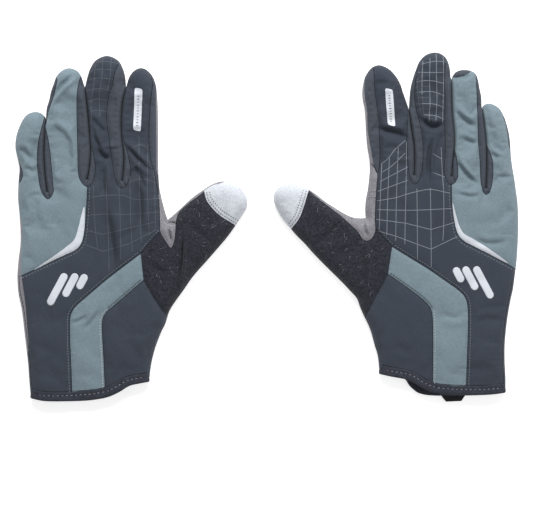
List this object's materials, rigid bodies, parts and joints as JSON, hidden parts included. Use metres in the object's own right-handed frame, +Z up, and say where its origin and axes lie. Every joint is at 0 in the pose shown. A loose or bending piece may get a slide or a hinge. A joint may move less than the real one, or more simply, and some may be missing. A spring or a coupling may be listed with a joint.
{
  "type": "full-finger cycling gloves",
  "caption": "Pair of thin full-finger cycling gloves lying palm down: softshell backs in panels, leather palms, hollow hinged fingers and thumbs, bound cuffs.",
  "frame": {"origin": "on the surface the gloves lie on, at the centre of the pair's bounding box in plan", "axes": "+X from the left glove to the right glove, +Y along the fingers, +Z up out of the backs of the hands"},
  "size_m": [0.3663, 0.2546, 0.0135],
  "materials": {
    "teal_softshell": "matt stretch softshell, fine knit, grey teal",
    "dark_softshell": "matt stretch softshell, dark slate, thin printed grid over the knuckles",
    "side_strip": "stretch knit between the fingers, dark slate",
    "black_fleece": "short brushed fleece with a few lint specks",
    "palm_leather": "suede-like synthetic leather, mauve grey",
    "pad_leather": "smooth synthetic leather over thin gel, dark grey",
    "tip_leather": "smooth light synthetic leather with two rows of stitches",
    "binding_tape": "knitted binding tape with light stitches",
    "lining": "brushed knit lining",
    "webbing": "woven tape",
    "label_cloth": "satin woven label, blank",
    "reflective_film": "heat-bonded reflective film, matt silver"
  },
  "bodies": {
    "left_hand": {"left_back_centre_panel": "dark_softshell", "left_back_ulnar_panel": "teal_softshell", "left_back_band": "teal_softshell", "left_back_wrist_panel": "dark_softshell", "left_thumb_base_panel": "black_fleece", "left_palm_panel": "palm_leather", "left_palm_pads": "pad_leather", "left_cuff_binding": "binding_tape", "left_cuff_lining": "lining", "left_care_label": "label_cloth", "left_pull_tab": "webbing", "left_reflective_piping": "reflective_film", "left_reflective_mark": "reflective_film"},
    "left_thumb": {"left_thumb_back": "black_fleece", "left_thumb_palm": "palm_leather", "left_thumb_tip_cap": "tip_leather"},
    "left_index": {"left_index_back": "dark_softshell", "left_index_palm": "palm_leather", "left_index_sides": "side_strip", "left_index_label": "reflective_film"},
    "left_middle": {"left_middle_back": "dark_softshell", "left_middle_palm": "palm_leather", "left_middle_sides": "side_strip"},
    "left_ring": {"left_ring_back": "teal_softshell", "left_ring_palm": "palm_leather", "left_ring_sides": "side_strip"},
    "left_little": {"left_little_back": "teal_softshell", "left_little_palm": "palm_leather", "left_little_sides": "side_strip"},
    "right_hand": {"right_back_centre_panel": "dark_softshell", "right_back_ulnar_panel": "teal_softshell", "right_back_band": "teal_softshell", "right_back_wrist_panel": "dark_softshell", "right_thumb_base_panel": "black_fleece", "right_palm_panel": "palm_leather", "right_palm_pads": "pad_leather", "right_cuff_binding": "binding_tape", "right_cuff_lining": "lining", "right_care_label": "label_cloth", "right_pull_tab": "webbing", "right_reflective_piping": "reflective_film", "right_reflective_mark": "reflective_film"},
    "right_thumb": {"right_thumb_back": "black_fleece", "right_thumb_palm": "palm_leather", "right_thumb_tip_cap": "tip_leather"},
    "right_index": {"right_index_back": "dark_softshell", "right_index_palm": "palm_leather", "right_index_sides": "side_strip", "right_index_label": "reflective_film"},
    "right_middle": {"right_middle_back": "dark_softshell", "right_middle_palm": "palm_leather", "right_middle_sides": "side_strip"},
    "right_ring": {"right_ring_back": "teal_softshell", "right_ring_palm": "palm_leather", "right_ring_sides": "side_strip"},
    "right_little": {"right_little_back": "teal_softshell", "right_little_palm": "palm_leather", "right_little_sides": "side_strip"}
  },
  "joints": [
    {"name": "left_index_bend", "type": "hinge", "parent": "left_hand", "child": "left_index", "pos_m": [-0.09165, 0.0364, 0.0065], "axis": [1, 0, 0], "range_deg": [-75, 50]},
    {"name": "left_middle_bend", "type": "hinge", "parent": "left_hand", "child": "left_middle", "pos_m": [-0.1181, 0.0364, 0.0065], "axis": [1, 0, 0], "range_deg": [-75, 50]},
    {"name": "left_ring_bend", "type": "hinge", "parent": "left_hand", "child": "left_ring", "pos_m": [-0.146, 0.0364, 0.0065], "axis": [1, 0, 0], "range_deg": [-75, 50]},
    {"name": "left_little_bend", "type": "hinge", "parent": "left_hand", "child": "left_little", "pos_m": [-0.1713, 0.0269, 0.0065], "axis": [1, 0, 0], "range_deg": [-75, 50]},
    {"name": "left_thumb_bend", "type": "hinge", "parent": "left_hand", "child": "left_thumb", "pos_m": [-0.05328, -0.00647, 0.0065], "axis": [0.6934, -0.7206, 0], "range_deg": [-45, 40]},
    {"name": "right_index_bend", "type": "hinge", "parent": "right_hand", "child": "right_index", "pos_m": [0.0903, 0.0379, 0.0065], "axis": [1, 0, 0], "range_deg": [-75, 50]},
    {"name": "right_middle_bend", "type": "hinge", "parent": "right_hand", "child": "right_middle", "pos_m": [0.1208, 0.0379, 0.0065], "axis": [1, 0, 0], "range_deg": [-75, 50]},
    {"name": "right_ring_bend", "type": "hinge", "parent": "right_hand", "child": "right_ring", "pos_m": [0.1468, 0.0379, 0.0065], "axis": [1, 0, 0], "range_deg": [-75, 50]},
    {"name": "right_little_bend", "type": "hinge", "parent": "right_hand", "child": "right_little", "pos_m": [0.17165, 0.0304, 0.0065], "axis": [1, 0, 0], "range_deg": [-75, 50]},
    {"name": "right_thumb_bend", "type": "hinge", "parent": "right_hand", "child": "right_thumb", "pos_m": [0.05242, -0.00831, 0.0065], "axis": [0.6356, 0.772, 0], "range_deg": [-45, 40]},
    {"name": "right_glove_lift", "type": "slide", "parent": "left_hand", "child": "right_hand", "axis": [0, 0, 1], "range_m": [0, 0.12]}
  ]
}
